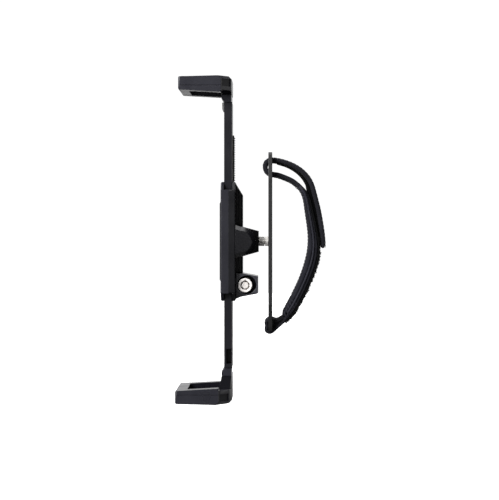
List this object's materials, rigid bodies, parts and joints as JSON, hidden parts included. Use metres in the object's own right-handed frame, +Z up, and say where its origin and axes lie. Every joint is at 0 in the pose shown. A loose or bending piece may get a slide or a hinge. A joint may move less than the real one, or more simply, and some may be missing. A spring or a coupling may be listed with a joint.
{
  "type": "locking device holder",
  "caption": "Telescoping holder that clamps a tablet-like device between two tray jaws, with a key lock and a swivelling hand strap on its back.",
  "frame": {"origin": "centre of the flat face that the held device's back rests on (the front pad), level with the strap plate's screw and in the middle of the width", "axes": "+Z up along the arms' travel, +X from the held device towards the hand strap, so the rest face looks along -X, and +Y across the width, away from the lock's face"},
  "size_m": [0.1273, 0.08, 0.2774],
  "materials": {
    "black_plastic": "satin moulded black plastic with a fine grain",
    "black_rubber": "matte black rubber",
    "grey_rubber": "matte grey foam rubber",
    "gear_plastic": "natural acetal",
    "steel": "zinc-plated",
    "black_steel": "black oxide",
    "lock_nickel": "satin nickel plate",
    "brass": "machined",
    "plate_coating": "satin black powder coat",
    "webbing": "woven black nylon webbing",
    "pad_fabric": "smooth black knit over foam",
    "hook_and_loop": "black hook-and-loop pile"
  },
  "bodies": {
    "housing": {"front_shell": "black_plastic", "rear_shell": "black_plastic", "front_pad": "black_rubber", "mount_boss": "black_plastic", "boss_insert": "brass", "boss_screws": "steel", "lock_block_screws": "steel", "housing_screws": "black_steel", "lock_block": "black_plastic", "lock_grub_screw": "black_steel", "lock_barrel": "lock_nickel", "pawl_pin": "steel", "pawl_spring": "steel", "pinion_pin": "steel", "stud_screw": "steel", "lock_nut": "steel", "jam_nut": "steel"},
    "upper_slide": {"upper_arm": "black_plastic", "ratchet_rack": "black_steel", "rack_rivets": "black_steel", "upper_jaw": "black_plastic", "upper_jaw_screws": "black_steel", "upper_tip_cap": "black_rubber", "rest_pad": "grey_rubber"},
    "lower_slide": {"lower_arm": "black_plastic", "lower_jaw": "black_plastic", "lower_jaw_screws": "black_steel", "lower_tip_cap": "black_rubber"},
    "pinion": {"sync_pinion": "gear_plastic"},
    "plug": {"lock_plug": "lock_nickel", "lock_cam": "steel", "cam_screw": "steel"},
    "pawl": {"pawl": "steel"},
    "strap": {"strap_plate": "plate_coating", "strap_webbing": "webbing", "strap_anchor": "webbing", "strap_pad": "pad_fabric", "loop_patch": "hook_and_loop", "hook_patch": "hook_and_loop"}
  },
  "joints": [
    {"name": "upper_arm_slide", "type": "slide", "parent": "housing", "child": "upper_slide", "axis": [0, 0, -1], "range_m": [0, 0.03]},
    {"name": "lower_arm_slide", "type": "slide", "parent": "housing", "child": "lower_slide", "axis": [0, 0, 1], "range_m": [0, 0.03]},
    {"name": "pinion_spin", "type": "hinge", "parent": "housing", "child": "pinion", "pos_m": [0.0071, 0, 0], "axis": [1, 0, 0], "range_deg": [-287, 0]},
    {"name": "lock_turn", "type": "hinge", "parent": "housing", "child": "plug", "pos_m": [0.0216, 0, -0.0372], "axis": [0, 1, 0], "range_deg": [0, 90]},
    {"name": "pawl_swing", "type": "hinge", "parent": "housing", "child": "pawl", "pos_m": [0.0161, 0, -0.0175], "axis": [0, 1, 0], "range_deg": [0, 6]},
    {"name": "strap_swivel", "type": "hinge", "parent": "housing", "child": "strap", "pos_m": [0.0431, 0, 0], "axis": [1, 0, 0], "continuous": true}
  ],
  "couplings": [
    {"joint": "lower_arm_slide", "follows": "upper_arm_slide", "ratio": 1},
    {"joint": "pinion_spin", "follows": "upper_arm_slide", "rad_per_m": -166.67},
    {"joint": "pawl_swing", "follows": "lock_turn", "ratio": 0.066666}
  ]
}
